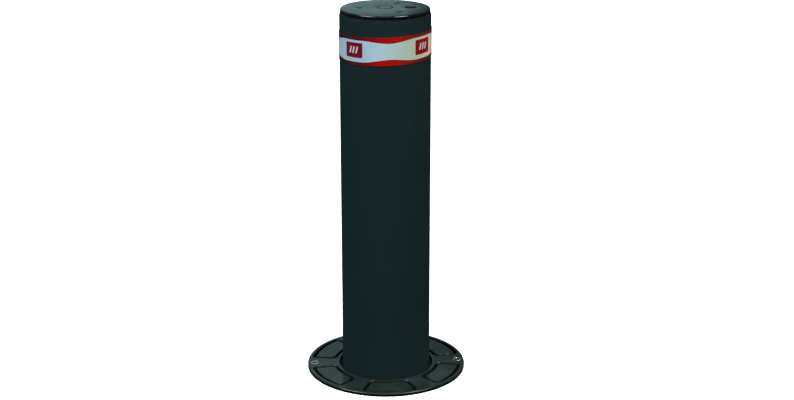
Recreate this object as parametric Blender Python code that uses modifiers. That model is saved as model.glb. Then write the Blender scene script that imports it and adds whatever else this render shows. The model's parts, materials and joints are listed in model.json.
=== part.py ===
"""Retractable steel safety bollard.

A gas spring lifts a tubular steel post out of a casing that is cast into the ground. A foot pushes
the post down again, and a key in its cap throws a bolt that holds it up or down.

The origin is on the post's axis at ground level, on the underside of the flange. +Z is up, and +X
points at the lock and at one of the two flange screws. The post is modelled raised, bolt drawn in.
"""

from math import asin, cos, pi, radians, sin

import bmesh
import bpy
from mathutils import Matrix

MM = 0.001

# Driving dimensions
POST_R = 57.15 * MM  # a 114.3 mm tube
POST_WALL = 4 * MM
POST_BOTTOM = -150 * MM
CAP_TOP = 478 * MM
CAP_R = 55.9 * MM
CAP_RIM = 5 * MM  # height of the cap's visible side
GASKET = 1.4 * MM
FILM = 0.35 * MM  # thickness of the reflective film
FLANGE_R = 103.5 * MM
FLANGE_BORE_R = 61 * MM
FLANGE_TOP = 4.5 * MM
CASING_R = 84.15 * MM  # a 168.3 mm tube
CASING_WALL = 4 * MM
CASING_FLOOR = -660 * MM
PLATE = 6 * MM  # thickness of the casing's ring and floor
LOCK_X = 31.5 * MM
BOLT_Z = -115 * MM
BOLT_THROW = 8 * MM
FIT = 0.3 * MM  # gap between pieces that rest on each other
RUN = 0.45 * MM  # gap between pieces that slide on each other

# Worked out from them
TRAVEL = CAP_TOP - FLANGE_TOP  # the cap ends flush with the flange
POST_BORE_R = POST_R - POST_WALL
FILM_BORE_R = POST_R + FIT
FILM_R = FILM_BORE_R + FILM  # the widest part of the post, which its guides have to clear
CAP_SEAT = CAP_TOP - CAP_RIM
POST_TOP = CAP_SEAT - GASKET - 2 * FIT
CASING_BORE_R = CASING_R - CASING_WALL
RING_UNDER = -FIT - PLATE
HOLE = FIT  # a screw hole is wider than its screw by this much, on the radius

# Flange
PADS = 6
PAD_R = (67.5 * MM, 96.5 * MM)
PAD_HALF = radians(20)
PAD_TOP = 4.2 * MM
GROOVE_FLOOR = 1.2 * MM
GROOVE_HALF = 2 * MM  # a groove runs round each pad, this far to both sides of its outline
FLANGE_SCREW_X = 94.5 * MM
M6_R = 3 * MM
M5_R = 2.5 * MM

# Guides and buffers
HOUSING_UNDER = -75 * MM
SHOE = (-140 * MM, -90 * MM)
SHOE_R = CASING_BORE_R - 0.75 * MM
BUFFER_R = 52 * MM

# Gas spring
CYLINDER_R = 14 * MM
CYLINDER_BORE_R = 12 * MM
CYLINDER = (-98 * MM, 412 * MM)
ROD_R = 5 * MM
PISTON = (-82 * MM, -70 * MM)
PIN_R = 4 * MM
TOP_PIN_Z = 430 * MM
BOTTOM_PIN_Z = -632 * MM
EYE_HALF = 5 * MM  # half the thickness of the spring's two eyes
EYE_REACH = 9 * MM  # from a pin's axis to the end of its eye

# Head
HEAD_PLATE = (453 * MM, 461 * MM)
CAP_SCREW_R = 32 * MM
LOCK_R = 7 * MM
LOCK_TOP = CAP_TOP - 2.5 * MM
PLUG_R = 4.5 * MM
PLUG_UNDER = 447 * MM

# Latch
BOLT_HALF = 4 * MM  # half the bolt's height
BOLT_SIDE = 6 * MM  # half the bolt's width
BOLT = (20 * MM, POST_R - 0.25 * MM)
CRANK_R = 8 * MM
CRANK_PIN_R = 1.5 * MM
CRANK_ARM = BOLT_THROW / (2 * sin(pi / 4))  # a quarter turn moves the pin by the bolt's throw
RAIL_FACE = 62 * MM

# Reflective film
FILM_Z = 434.9 * MM
FILM_HEIGHT = 35 * MM
FILM_TILT = 2.1 * MM  # how much higher it sits at +X than on the axis

ROUND = 64  # segments round the pieces in sight
BURIED_ROUND = 40
SMALL_ROUND = 24
TINY_ROUND = 16


# Scene

def clear_scene():
    for item in list(bpy.data.objects):
        bpy.data.objects.remove(item, do_unlink=True)


def collection(name):
    made = bpy.data.collections.new(name)
    bpy.context.scene.collection.children.link(made)
    return made


def material(name, color, roughness, metallic):
    made = bpy.data.materials.new(name)
    made.use_nodes = True
    shader = made.node_tree.nodes["Principled BSDF"]
    shader.inputs["Base Color"].default_value = (*color, 1)
    shader.inputs["Roughness"].default_value = roughness
    shader.inputs["Metallic"].default_value = metallic
    return made


clear_scene()
PARTS = collection("safety_bollard")
CUTTERS = collection("cutters")

POST_PAINT = material("post_paint", (0.013, 0.020, 0.021), 0.55, 0.0)
BLACK_ENAMEL = material("black_enamel", (0.012, 0.017, 0.016), 0.15, 0.0)
FILM_SILVER = material("film_silver", (0.62, 0.66, 0.72), 0.35, 0.2)
ZINC = material("zinc", (0.62, 0.64, 0.65), 0.3, 1.0)
GALVANISED = material("galvanised", (0.42, 0.44, 0.45), 0.5, 0.9)
BRIGHT_STEEL = material("bright_steel", (0.55, 0.56, 0.57), 0.2, 1.0)
CYLINDER_PAINT = material("cylinder_paint", (0.02, 0.02, 0.02), 0.4, 0.0)
RUBBER = material("rubber", (0.012, 0.012, 0.012), 0.8, 0.0)
NYLON = material("nylon", (0.55, 0.53, 0.47), 0.5, 0.0)
PIPE_PLASTIC = material("pipe_plastic", (0.20, 0.21, 0.22), 0.4, 0.0)
BRASS = material("brass", (0.60, 0.44, 0.18), 0.3, 1.0)


def frame(name, at=(0, 0, 0), parent=None):
    """An empty on a body's joint axis, which its pieces hang from."""
    empty = bpy.data.objects.new(name, None)
    empty.location = at
    empty.parent = parent
    PARTS.objects.link(empty)
    return empty


CASING_FRAME = frame("casing_frame")
POST_FRAME = frame("post_frame", parent=CASING_FRAME)
LOCK_FRAME = frame("lock_frame", (LOCK_X, 0, 0), POST_FRAME)
BOLT_FRAME = frame("bolt_frame", (0, 0, BOLT_Z), POST_FRAME)


# Shapes: each function returns a new object, which part() or cutter() then finishes

def from_mesh(name, mesh):
    item = bpy.data.objects.new(name, mesh)
    bpy.context.scene.collection.objects.link(item)
    return item


def turned(name, profile, segments=ROUND):
    """Turns a (radius, height) profile about Z. It starts at the top and runs down the outer side, and
    it is closed unless both its ends are on the axis."""
    on_axis = profile[0][0] == 0 and profile[-1][0] == 0
    count = len(profile)
    edges = [(i, (i + 1) % count) for i in range(count - on_axis)]
    mesh = bpy.data.meshes.new(name)
    mesh.from_pydata([(r, 0, z) for r, z in profile], edges, [])
    item = from_mesh(name, mesh)
    screw = item.modifiers.new("turn", "SCREW")
    screw.steps = segments
    screw.render_steps = segments
    screw.use_merge_vertices = True
    screw.merge_threshold = 0.01 * MM
    return item


def ring(name, inner, outer, bottom, top, segments=ROUND):
    return turned(name, [(outer, top), (outer, bottom), (inner, bottom), (inner, top)], segments)


def rod(name, radius, bottom, top, at=(0, 0), segments=SMALL_ROUND):
    """An upright cylinder."""
    mesh = bpy.data.meshes.new(name)
    made = bmesh.new()
    bmesh.ops.create_cone(
        made, cap_ends=True, segments=segments, radius1=radius, radius2=radius, depth=top - bottom
    )
    made.to_mesh(mesh)
    made.free()
    item = from_mesh(name, mesh)
    item.location = (*at, (bottom + top) / 2)
    return item


def cross_pin(name, radius, length, height):
    """A cylinder along Y that crosses the axis."""
    item = rod(name, radius, -length / 2, length / 2)
    item.location = (0, 0, height)
    item.rotation_euler = (pi / 2, 0, 0)
    return item


def block(name, x, y, z):
    """A box from its ranges along X, Y and Z."""
    mesh = bpy.data.meshes.new(name)
    made = bmesh.new()
    bmesh.ops.create_cube(made, size=1)
    bmesh.ops.scale(made, vec=(x[1] - x[0], y[1] - y[0], z[1] - z[0]), verts=made.verts)
    made.to_mesh(mesh)
    made.free()
    item = from_mesh(name, mesh)
    item.location = ((x[0] + x[1]) / 2, (y[0] + y[1]) / 2, (z[0] + z[1]) / 2)
    return item


def slab(name, outline, thickness):
    """A flat outline in XY, extruded by half its thickness to each side."""
    curve = bpy.data.curves.new(name, "CURVE")
    curve.dimensions = "2D"
    curve.fill_mode = "BOTH"
    curve.extrude = thickness / 2
    spline = curve.splines.new("POLY")
    spline.points.add(len(outline) - 1)
    for point, (x, y) in zip(spline.points, outline):
        point.co = (x, y, 0, 1)
    spline.use_cyclic_u = True
    drawn = from_mesh(name + "_outline", curve)
    graph = bpy.context.evaluated_depsgraph_get()
    mesh = bpy.data.meshes.new_from_object(drawn.evaluated_get(graph))
    mesh.materials.clear()
    made = bmesh.new()
    made.from_mesh(mesh)
    bmesh.ops.remove_doubles(made, verts=made.verts, dist=0.001 * MM)
    bmesh.ops.recalc_face_normals(made, faces=made.faces)
    made.to_mesh(mesh)
    made.free()
    bpy.data.objects.remove(drawn, do_unlink=True)
    return from_mesh(name, mesh)


def upright(name, outline, width, azimuth):
    """A slab stood up: its outline is (distance from the axis, height), in the plane at this azimuth."""
    item = slab(name, outline, width)
    item.rotation_euler = (pi / 2, 0, azimuth)
    return item


def part(item, finish, parent):
    bpy.context.scene.collection.objects.unlink(item)
    PARTS.objects.link(item)
    item.parent = parent
    item.data.materials.append(finish)
    item.data.shade_smooth()
    item.data.set_sharp_from_angle(angle=radians(35))
    return item


def cutter(item, parent=None):
    bpy.context.scene.collection.objects.unlink(item)
    CUTTERS.objects.link(item)
    item.parent = parent
    item.hide_render = True
    item.display_type = "WIRE"
    return item


def boolean(item, tool, operation):
    modifier = item.modifiers.new(operation.lower(), "BOOLEAN")
    modifier.operation = operation
    modifier.solver = "EXACT"
    modifier.object = tool


def cut(item, tool, parent=None):
    boolean(item, cutter(tool, parent), "DIFFERENCE")


def join(item, tool, parent=None):
    boolean(item, cutter(tool, parent), "UNION")


def polar(radius, azimuth):
    return radius * cos(azimuth), radius * sin(azimuth)


# Screws and their holes

def countersunk_screw(name, shank_r, top, length, at):
    """A screw with a 90 degree head and a hexagon socket."""
    head_r = 1.9 * shank_r
    head = head_r - shank_r
    profile = [
        (0, top),
        (head_r, top),
        (shank_r, top - head),
        (shank_r, top - length),
        (0, top - length),
    ]
    item = turned(name, profile, SMALL_ROUND)
    item.location = (*at, 0)
    depth = 0.7 * shank_r
    cut(item, rod(name + "_socket", 0.77 * shank_r, top - depth, top + MM, at, 6))
    return item


def screw_hole(name, shank_r, top, bottom, at):
    """The clearance hole and countersink for such a screw, as one cutter."""
    bore_r = shank_r + HOLE
    sink = 0.9 * shank_r + HOLE
    above = MM
    profile = [
        (0, top + above),
        (bore_r + sink + above, top + above),
        (bore_r, top - sink),
        (bore_r, bottom - above),
        (0, bottom - above),
    ]
    item = turned(name, profile, SMALL_ROUND)
    item.location = (*at, 0)
    return item


# Ground flange

def pad_outline(margin):
    """One pad of the flange, a sector of a ring, grown by this much on every side."""
    inner, outer = PAD_R[0] - margin, PAD_R[1] + margin
    return arc(inner, PAD_HALF + asin(margin / inner)) + arc(outer, -PAD_HALF - asin(margin / outer))


def arc(radius, half):
    """Points along an arc from -half to half."""
    steps = 8
    return [polar(radius, half * (2 * i / steps - 1)) for i in range(steps + 1)]


def make_flange():
    edge = 1.5 * MM
    lead_in = MM
    profile = [
        (FLANGE_R - edge, FLANGE_TOP),
        (FLANGE_R, FLANGE_TOP - edge),
        (FLANGE_R, 0),
        (FLANGE_BORE_R, 0),
        (FLANGE_BORE_R, FLANGE_TOP - lead_in),
        (FLANGE_BORE_R + lead_in, FLANGE_TOP),
    ]
    flange = part(turned("flange", profile, 96), BLACK_ENAMEL, CASING_FRAME)
    depth = 10 * MM
    root = GROOVE_FLOOR / 2
    for i in range(PADS):
        turn = (0, 0, 2 * pi * (i + 0.5) / PADS)
        pocket = slab(f"flange_pocket_{i + 1}", pad_outline(GROOVE_HALF), depth)
        pocket.location = (0, 0, GROOVE_FLOOR + depth / 2)
        pocket.rotation_euler = turn
        cut(flange, pocket)
        pad = slab(f"flange_pad_{i + 1}", pad_outline(-GROOVE_HALF), PAD_TOP - root)
        pad.location = (0, 0, (PAD_TOP + root) / 2)
        pad.rotation_euler = turn
        join(flange, pad)
    for side, x in (("left", -FLANGE_SCREW_X), ("right", FLANGE_SCREW_X)):
        cut(flange, screw_hole(f"flange_hole_{side}", M6_R, FLANGE_TOP, 0, (x, 0)))
        screw = countersunk_screw(f"flange_screw_{side}", M6_R, FLANGE_TOP - 0.2 * MM, 22 * MM, (x, 0))
        part(screw, ZINC, CASING_FRAME)
        nut_top = RING_UNDER - FIT
        nut = rod(f"weld_nut_{side}", 5.77 * MM, nut_top - 5 * MM, nut_top, (x, 0), 6)
        cut(nut, rod(f"nut_thread_{side}", M6_R + HOLE, nut_top - 6 * MM, nut_top + MM, (x, 0)))
        part(nut, GALVANISED, CASING_FRAME)


# Buried casing

def make_casing():
    seal_r = 70.2 * MM
    ring_r = (seal_r + FIT, FLANGE_R - 2 * MM)
    top_ring = ring("casing_top_ring", *ring_r, RING_UNDER, -FIT, BURIED_ROUND)
    for side, x in (("left", -FLANGE_SCREW_X), ("right", FLANGE_SCREW_X)):
        cut(top_ring, rod(f"ring_hole_{side}", M6_R + HOLE, RING_UNDER - MM, MM, (x, 0)))
    part(top_ring, GALVANISED, CASING_FRAME)

    under_ring = RING_UNDER - FIT
    shell_z = (CASING_FLOOR + FIT, under_ring)
    shell = ring("casing_tube", CASING_BORE_R, CASING_R, *shell_z, BURIED_ROUND)
    part(shell, GALVANISED, CASING_FRAME)

    lip_r = FLANGE_BORE_R - 0.5 * MM
    lip_top = 1.8 * MM
    seal = [
        (lip_r - 2 * MM, lip_top),
        (lip_r, 0),
        (lip_r, -FIT),
        (seal_r, -FIT),
        (seal_r, RING_UNDER),
        (FILM_R + RUN, RING_UNDER),
        (FILM_R + FIT, lip_top),
    ]
    part(turned("wiper_seal", seal), RUBBER, CASING_FRAME)

    drain_x = 39 * MM
    drain_r = 18 * MM
    drain_bore_r = 15.5 * MM
    floor_z = (CASING_FLOOR - PLATE, CASING_FLOOR)
    floor = rod("casing_bottom_plate", CASING_R, *floor_z, segments=BURIED_ROUND)
    cut(floor, rod("drain_hole", drain_r + FIT, floor_z[0] - MM, floor_z[1] + MM, (drain_x, 0)))
    part(floor, GALVANISED, CASING_FRAME)

    collar_r = drain_r + 3 * MM
    collar_under = CASING_FLOOR + FIT
    collar_top = collar_under + 3 * MM
    end = CASING_FLOOR - 40 * MM
    pipe = [
        (collar_r, collar_top),
        (collar_r, collar_under),
        (drain_r, collar_under),
        (drain_r, end),
        (drain_bore_r, end),
        (drain_bore_r, collar_top),
    ]
    spigot = turned("drain_spigot", pipe, SMALL_ROUND)
    spigot.location = (drain_x, 0, 0)
    part(spigot, PIPE_PLASTIC, CASING_FRAME)

    strap_r = CASING_R + FIT
    strap = 4 * MM
    strap_z = (-560 * MM, -200 * MM)
    foot = 34 * MM
    outline = [
        (strap_r, strap_z[1]),
        (strap_r + strap, strap_z[1]),
        (strap_r + strap, strap_z[0] + strap),
        (strap_r + foot, strap_z[0] + strap),
        (strap_r + foot, strap_z[0]),
        (strap_r, strap_z[0]),
    ]
    for i in range(3):
        item = upright(f"anchor_strap_{i + 1}", outline, 30 * MM, radians(30 + 120 * i))
        part(item, GALVANISED, CASING_FRAME)


# Guides and buffers between the casing and the post

def make_guides():
    top = RING_UNDER - FIT
    bush_r = 66 * MM
    lip = 4 * MM
    housing_r = CASING_BORE_R - FIT
    housing = [
        (housing_r, top),
        (housing_r, HOUSING_UNDER),
        (FILM_R + 2 * RUN, HOUSING_UNDER),
        (FILM_R + 2 * RUN, HOUSING_UNDER + lip),
        (bush_r + FIT, HOUSING_UNDER + lip),
        (bush_r + FIT, top),
    ]
    part(turned("guide_housing", housing, BURIED_ROUND), GALVANISED, CASING_FRAME)
    bush_z = (HOUSING_UNDER + lip + FIT, top)
    part(ring("guide_bush", FILM_R + RUN, bush_r, *bush_z, BURIED_ROUND), NYLON, CASING_FRAME)

    buffer_top = HOUSING_UNDER - FIT
    buffer = ring("upper_buffer", 60 * MM, 79 * MM, SHOE[1] + FIT, buffer_top, BURIED_ROUND)
    part(buffer, RUBBER, CASING_FRAME)
    stop = POST_BOTTOM - TRAVEL - 0.7 * MM
    for i in range(3):
        at = polar(BUFFER_R, radians(60 + 120 * i))
        item = rod(f"lower_buffer_{i + 1}", 9 * MM, CASING_FLOOR + FIT, stop, at)
        part(item, RUBBER, CASING_FRAME)

    rail_side = 15 * MM
    shoe = ring("guide_shoe", POST_R + FIT, SHOE_R, *SHOE, BURIED_ROUND)
    notch = rail_side + 0.9 * MM
    cut(shoe, block("shoe_notch", (40 * MM, 90 * MM), (-notch, notch), (SHOE[0] - MM, SHOE[1] + MM)))
    part(shoe, NYLON, POST_FRAME)

    wall = 4 * MM
    back = 78.2 * MM
    outline = [
        (RAIL_FACE, -rail_side),
        (back, -rail_side),
        (back, wall - rail_side),
        (RAIL_FACE + wall, wall - rail_side),
        (RAIL_FACE + wall, rail_side - wall),
        (back, rail_side - wall),
        (back, rail_side),
        (RAIL_FACE, rail_side),
    ]
    rail_z = (CASING_FLOOR + 10 * MM, SHOE[1] - 2 * MM)
    rail = slab("catch_rail", outline, rail_z[1] - rail_z[0])
    rail.location = (0, 0, (rail_z[0] + rail_z[1]) / 2)
    for name, height in (("raised", BOLT_Z), ("lowered", BOLT_Z - TRAVEL)):
        play = 1.2 * MM
        side = BOLT_SIDE + play
        window = (height - BOLT_HALF - play, height + BOLT_HALF + play)
        x = (RAIL_FACE - MM, RAIL_FACE + wall + MM)
        cut(rail, block(f"catch_window_{name}", x, (-side, side), window))
    part(rail, GALVANISED, CASING_FRAME)


# Post

def make_film():
    """A sleeve of film, applied slightly out of level: it rises towards +X."""
    mesh = bpy.data.meshes.new("reflective_band")
    made = bmesh.new()
    bmesh.ops.create_cone(
        made,
        cap_ends=False,
        segments=ROUND,
        radius1=FILM_BORE_R,
        radius2=FILM_BORE_R,
        depth=FILM_HEIGHT,
    )
    slope = Matrix.Identity(4)
    slope[2][0] = FILM_TILT / POST_R
    bmesh.ops.transform(made, matrix=slope, verts=made.verts)
    made.to_mesh(mesh)
    made.free()
    film = from_mesh("reflective_band", mesh)
    film.location = (0, 0, FILM_Z)
    solid = film.modifiers.new("thickness", "SOLIDIFY")
    solid.thickness = FILM
    solid.offset = 1
    part(film, FILM_SILVER, POST_FRAME)


def make_post():
    tube = ring("post_tube", POST_BORE_R, POST_R, POST_BOTTOM, POST_TOP)
    play = 0.6 * MM
    side = BOLT_SIDE + play
    slot_z = (BOLT_Z - BOLT_HALF - play, BOLT_Z + BOLT_HALF + play)
    cut(tube, block("bolt_slot", (POST_BORE_R - 5 * MM, POST_R + 5 * MM), (-side, side), slot_z))
    part(tube, POST_PAINT, POST_FRAME)

    plate_z = (BOLT_Z - 10.5 * MM, BOLT_Z - BOLT_HALF - FIT)
    lower = rod("lower_plate", POST_BORE_R - FIT, *plate_z, segments=BURIED_ROUND)
    cut(lower, rod("lower_plate_hole", 16 * MM, BOLT_Z - 12 * MM, BOLT_Z))
    part(lower, GALVANISED, POST_FRAME)


def make_head():
    rounding = 1.6 * MM
    groove = (8.6 * MM, 10.2 * MM)
    groove_z = CAP_TOP - 0.6 * MM
    spigot_r = POST_BORE_R - FIT
    plate_top = HEAD_PLATE[1]
    profile = [
        (0, CAP_TOP),
        (groove[0], CAP_TOP),
        (groove[0], groove_z),
        (groove[1], groove_z),
        (groove[1], CAP_TOP),
        (CAP_R - rounding, CAP_TOP),
        (CAP_R - 0.3 * rounding, CAP_TOP - 0.3 * rounding),
        (CAP_R, CAP_TOP - rounding),
        (CAP_R, CAP_SEAT),
        (spigot_r, CAP_SEAT),
        (spigot_r, plate_top + FIT),
        (0, plate_top + FIT),
    ]
    cap = turned("head_cap", profile)
    plate = rod("head_plate", spigot_r, *HEAD_PLATE, segments=BURIED_ROUND)
    lock_at = (LOCK_X, 0)
    cut(cap, rod("cap_lock_hole", LOCK_R + FIT, plate_top - MM, CAP_TOP + MM, lock_at))
    cut(plate, rod("plate_lock_hole", LOCK_R + FIT, HEAD_PLATE[0] - MM, plate_top + MM, lock_at))
    for i in range(3):
        at = polar(CAP_SCREW_R, radians(60 + 120 * i))
        cut(cap, screw_hole(f"cap_hole_{i + 1}", M5_R, CAP_TOP, plate_top, at))
        cut(plate, rod(f"plate_hole_{i + 1}", M5_R + HOLE, HEAD_PLATE[0] - MM, plate_top + MM, at))
        screw = countersunk_screw(f"cap_screw_{i + 1}", M5_R, CAP_TOP - 0.2 * MM, 24 * MM, at)
        part(screw, BLACK_ENAMEL, POST_FRAME)
    part(cap, BLACK_ENAMEL, POST_FRAME)
    part(plate, GALVANISED, POST_FRAME)
    gasket = ring("cap_gasket", POST_BORE_R + 0.4 * MM, POST_R - 0.7 * MM, POST_TOP + FIT, CAP_SEAT - FIT)
    part(gasket, RUBBER, POST_FRAME)


# Gas spring

def clevis_outline(base, reach, up):
    """A fork seen end on, from its base to the height that its two cheeks reach."""
    inner = EYE_HALF + 0.4 * MM
    outer = inner + 4 * MM
    web = base + up * 5 * MM
    return [
        (-outer, base),
        (outer, base),
        (outer, reach),
        (inner, reach),
        (inner, web),
        (-inner, web),
        (-inner, reach),
        (-outer, reach),
    ]


def pin_hole(name, height):
    return cross_pin(name, PIN_R + FIT, 60 * MM, height)


def make_gas_spring():
    bottom, top = CYLINDER
    dome = top - 5 * MM
    shell = [
        (0, top),
        (CYLINDER_R - MM, top),
        (CYLINDER_R, top - MM),
        (CYLINDER_R, bottom),
        (CYLINDER_BORE_R, bottom),
        (CYLINDER_BORE_R, dome),
        (0, dome),
    ]
    cylinder = turned("gas_spring_cylinder", shell, 32)
    eye = (-EYE_REACH, EYE_REACH)
    thick = (-EYE_HALF, EYE_HALF)
    join(cylinder, block("top_eye", eye, thick, (top - 2 * MM, TOP_PIN_Z + EYE_REACH)))
    cut(cylinder, pin_hole("top_eye_hole", TOP_PIN_Z))
    part(cylinder, CYLINDER_PAINT, POST_FRAME)
    gland_z = (bottom + FIT, bottom + 14 * MM)
    gland = ring("gas_spring_gland", ROD_R + FIT, CYLINDER_BORE_R - FIT, *gland_z, SMALL_ROUND)
    part(gland, BRASS, POST_FRAME)

    piston = rod("gas_spring_piston", CYLINDER_BORE_R - FIT, *PISTON, segments=SMALL_ROUND)
    part(piston, BRIGHT_STEEL, CASING_FRAME)
    eye_top = BOTTOM_PIN_Z + EYE_REACH
    stem = rod("gas_spring_rod", ROD_R, eye_top - 2 * MM, PISTON[0] - FIT, segments=SMALL_ROUND)
    join(stem, block("bottom_eye", eye, thick, (BOTTOM_PIN_Z - EYE_REACH, eye_top)))
    cut(stem, pin_hole("bottom_eye_hole", BOTTOM_PIN_Z))
    part(stem, BRIGHT_STEEL, CASING_FRAME)

    width = 20 * MM
    reach = EYE_REACH + MM
    forks = (
        ("spring_top", HEAD_PLATE[0] - FIT, TOP_PIN_Z, -1, POST_FRAME),
        ("spring_bottom", CASING_FLOOR + FIT, BOTTOM_PIN_Z, 1, CASING_FRAME),
    )
    for name, base, pin_z, up, parent in forks:
        fork = upright(name + "_clevis", clevis_outline(base, pin_z + up * reach, up), width, pi / 2)
        cut(fork, pin_hole(name + "_clevis_hole", pin_z))
        part(fork, GALVANISED, parent)
        part(cross_pin(name + "_pin", PIN_R, 24 * MM, pin_z), BRIGHT_STEEL, parent)


# Lock and latch

def make_lock():
    housing = ring("lock_housing", PLUG_R + FIT, LOCK_R, PLUG_UNDER, LOCK_TOP, SMALL_ROUND)
    housing.location = (LOCK_X, 0, 0)
    part(housing, BRASS, POST_FRAME)

    plug = rod("lock_plug", PLUG_R, PLUG_UNDER, LOCK_TOP - 0.5 * MM)
    slot = (-0.8 * MM, 0.8 * MM)
    keyway = block("keyway", (-3 * MM, 3 * MM), slot, (LOCK_TOP - 10 * MM, LOCK_TOP + MM))
    cut(plug, keyway, LOCK_FRAME)
    part(plug, BRASS, LOCK_FRAME)

    crank_under = BOLT_Z + BOLT_HALF + 0.6 * MM
    crank_top = crank_under + 5 * MM
    crank = rod("lock_crank", CRANK_R, crank_under, crank_top)
    pin_z = (BOLT_Z - 2 * MM, crank_under + MM)
    pin_at = polar(CRANK_ARM, radians(135))
    join(crank, rod("crank_pin", CRANK_PIN_R, *pin_z, pin_at, TINY_ROUND), LOCK_FRAME)
    part(crank, GALVANISED, LOCK_FRAME)
    part(rod("lock_rod", 4 * MM, crank_top + FIT, PLUG_UNDER - FIT), GALVANISED, LOCK_FRAME)


def make_latch():
    bolt = block("latch_bolt", BOLT, (-BOLT_SIDE, BOLT_SIDE), (-BOLT_HALF, BOLT_HALF))
    play = 0.5 * MM
    reach = CRANK_PIN_R + play
    pin_x = LOCK_X - BOLT_THROW / 2
    pin_y = BOLT_THROW / 2
    notch_x = (pin_x - reach, pin_x + reach)
    notch_y = (pin_y - reach, BOLT_SIDE + MM)
    notch_z = (-BOLT_HALF - MM, BOLT_HALF + MM)
    cut(bolt, block("bolt_notch", notch_x, notch_y, notch_z), BOLT_FRAME)
    part(bolt, BRIGHT_STEEL, BOLT_FRAME)

    x = (LOCK_X + CRANK_R + 1.5 * MM, 51.5 * MM)
    y = 11 * MM
    under = BOLT_Z - BOLT_HALF
    guide = block("bolt_guide", x, (-y, y), (under, BOLT_Z + BOLT_HALF + 5 * MM))
    channel = BOLT_SIDE + RUN
    channel_z = (under - MM, BOLT_Z + BOLT_HALF + RUN)
    cut(guide, block("bolt_channel", (x[0] - MM, x[1] + MM), (-channel, channel), channel_z))
    part(guide, GALVANISED, POST_FRAME)


make_flange()
make_casing()
make_guides()
make_post()
make_film()
make_head()
make_gas_spring()
make_lock()
make_latch()
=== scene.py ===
"""Looks of the retractable steel safety bollard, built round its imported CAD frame.

Its visible pieces get finer shapes, every piece gets a procedural material, and the rest is the studio.
Metres, +Z up, origin on the post's axis at ground level. Azimuths are degrees from +X, towards +Y.
"""

import json
from math import ceil, cos, pi, radians, sin, tan

import bmesh
import bpy
import numpy as np
from mathutils import Matrix, Vector


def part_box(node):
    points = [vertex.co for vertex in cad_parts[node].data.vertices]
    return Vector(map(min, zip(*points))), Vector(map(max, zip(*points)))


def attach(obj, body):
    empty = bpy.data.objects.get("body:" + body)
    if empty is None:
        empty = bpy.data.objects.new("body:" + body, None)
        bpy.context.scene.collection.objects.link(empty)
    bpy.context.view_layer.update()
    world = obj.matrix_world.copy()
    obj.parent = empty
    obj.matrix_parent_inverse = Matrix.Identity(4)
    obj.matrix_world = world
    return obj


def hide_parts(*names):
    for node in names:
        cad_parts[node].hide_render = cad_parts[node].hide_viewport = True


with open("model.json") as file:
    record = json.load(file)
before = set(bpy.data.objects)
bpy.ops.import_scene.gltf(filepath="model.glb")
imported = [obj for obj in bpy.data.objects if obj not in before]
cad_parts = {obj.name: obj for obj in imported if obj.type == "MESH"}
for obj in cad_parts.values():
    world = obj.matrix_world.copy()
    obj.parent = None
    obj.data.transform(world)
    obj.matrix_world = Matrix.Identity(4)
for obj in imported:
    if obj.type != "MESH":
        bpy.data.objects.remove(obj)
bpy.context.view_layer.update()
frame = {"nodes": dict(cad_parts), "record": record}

MM = 0.001
ROUND = 192  # segments round the post, cap and flange
SMALL_ROUND = 64  # segments round screws and the lock
GAP = 0.3 * MM  # the CAD leaves this between pieces that rest on each other

# What the frame says

def outer_radius(node):
    low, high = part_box(node)
    return (high.x - low.x) / 2


def heights(node):
    low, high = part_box(node)
    return low.z, high.z


def centre(node):
    low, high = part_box(node)
    return (low.x + high.x) / 2, (low.y + high.y) / 2


POST_R = outer_radius("post_tube")
POST_BOTTOM, POST_TOP = heights("post_tube")
POST_BORE_R = outer_radius("head_plate") + GAP
CAP_R = outer_radius("head_cap")
CAP_BOTTOM, CAP_TOP = heights("head_cap")
CAP_SEAT = heights("cap_gasket")[1] + GAP
FLANGE_R = outer_radius("flange")
FLANGE_TOP = heights("flange")[1]
SEAL_R = outer_radius("wiper_seal")
LOCK_AT = centre("lock_housing")
LOCK_R = outer_radius("lock_housing")
LOCK_BOTTOM, LOCK_TOP = heights("lock_housing")
PLUG_R = outer_radius("lock_plug")
PLUG_BOTTOM, PLUG_TOP = heights("lock_plug")
BAND_R = outer_radius("reflective_band")

# Shapes

def new_object(name, mesh):
    item = bpy.data.objects.new(name, mesh)
    bpy.context.scene.collection.objects.link(item)
    return item


def from_faces(name, points, faces, merge=0.0):
    """An object from its points and faces, with its normals turned outwards."""
    mesh = bpy.data.meshes.new(name)
    mesh.from_pydata([tuple(p) for p in points], [], faces)
    made = bmesh.new()
    made.from_mesh(mesh)
    if merge:
        bmesh.ops.remove_doubles(made, verts=made.verts, dist=merge)
    bmesh.ops.recalc_face_normals(made, faces=made.faces)
    made.to_mesh(mesh)
    made.free()
    return new_object(name, mesh)


def rounded(corners, steps=4):
    """A closed outline from (across, up, fillet radius) corners, with an arc at each fillet."""
    outline = []
    count = len(corners)
    for i, (x, y, radius) in enumerate(corners):
        here = Vector((x, y))
        if radius == 0:
            outline.append(here)
            continue
        back = (Vector(corners[i - 1][:2]) - here).normalized()
        on = (Vector(corners[(i + 1) % count][:2]) - here).normalized()
        half = back.angle(on) / 2
        reach = radius / tan(half)
        middle = here + (back + on).normalized() * radius / sin(half)
        start = here + back * reach - middle
        sweep = start.angle_signed(here + on * reach - middle)
        for step in range(steps + 1):
            outline.append(middle + Matrix.Rotation(-sweep * step / steps, 2) @ start)
    return outline


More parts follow.
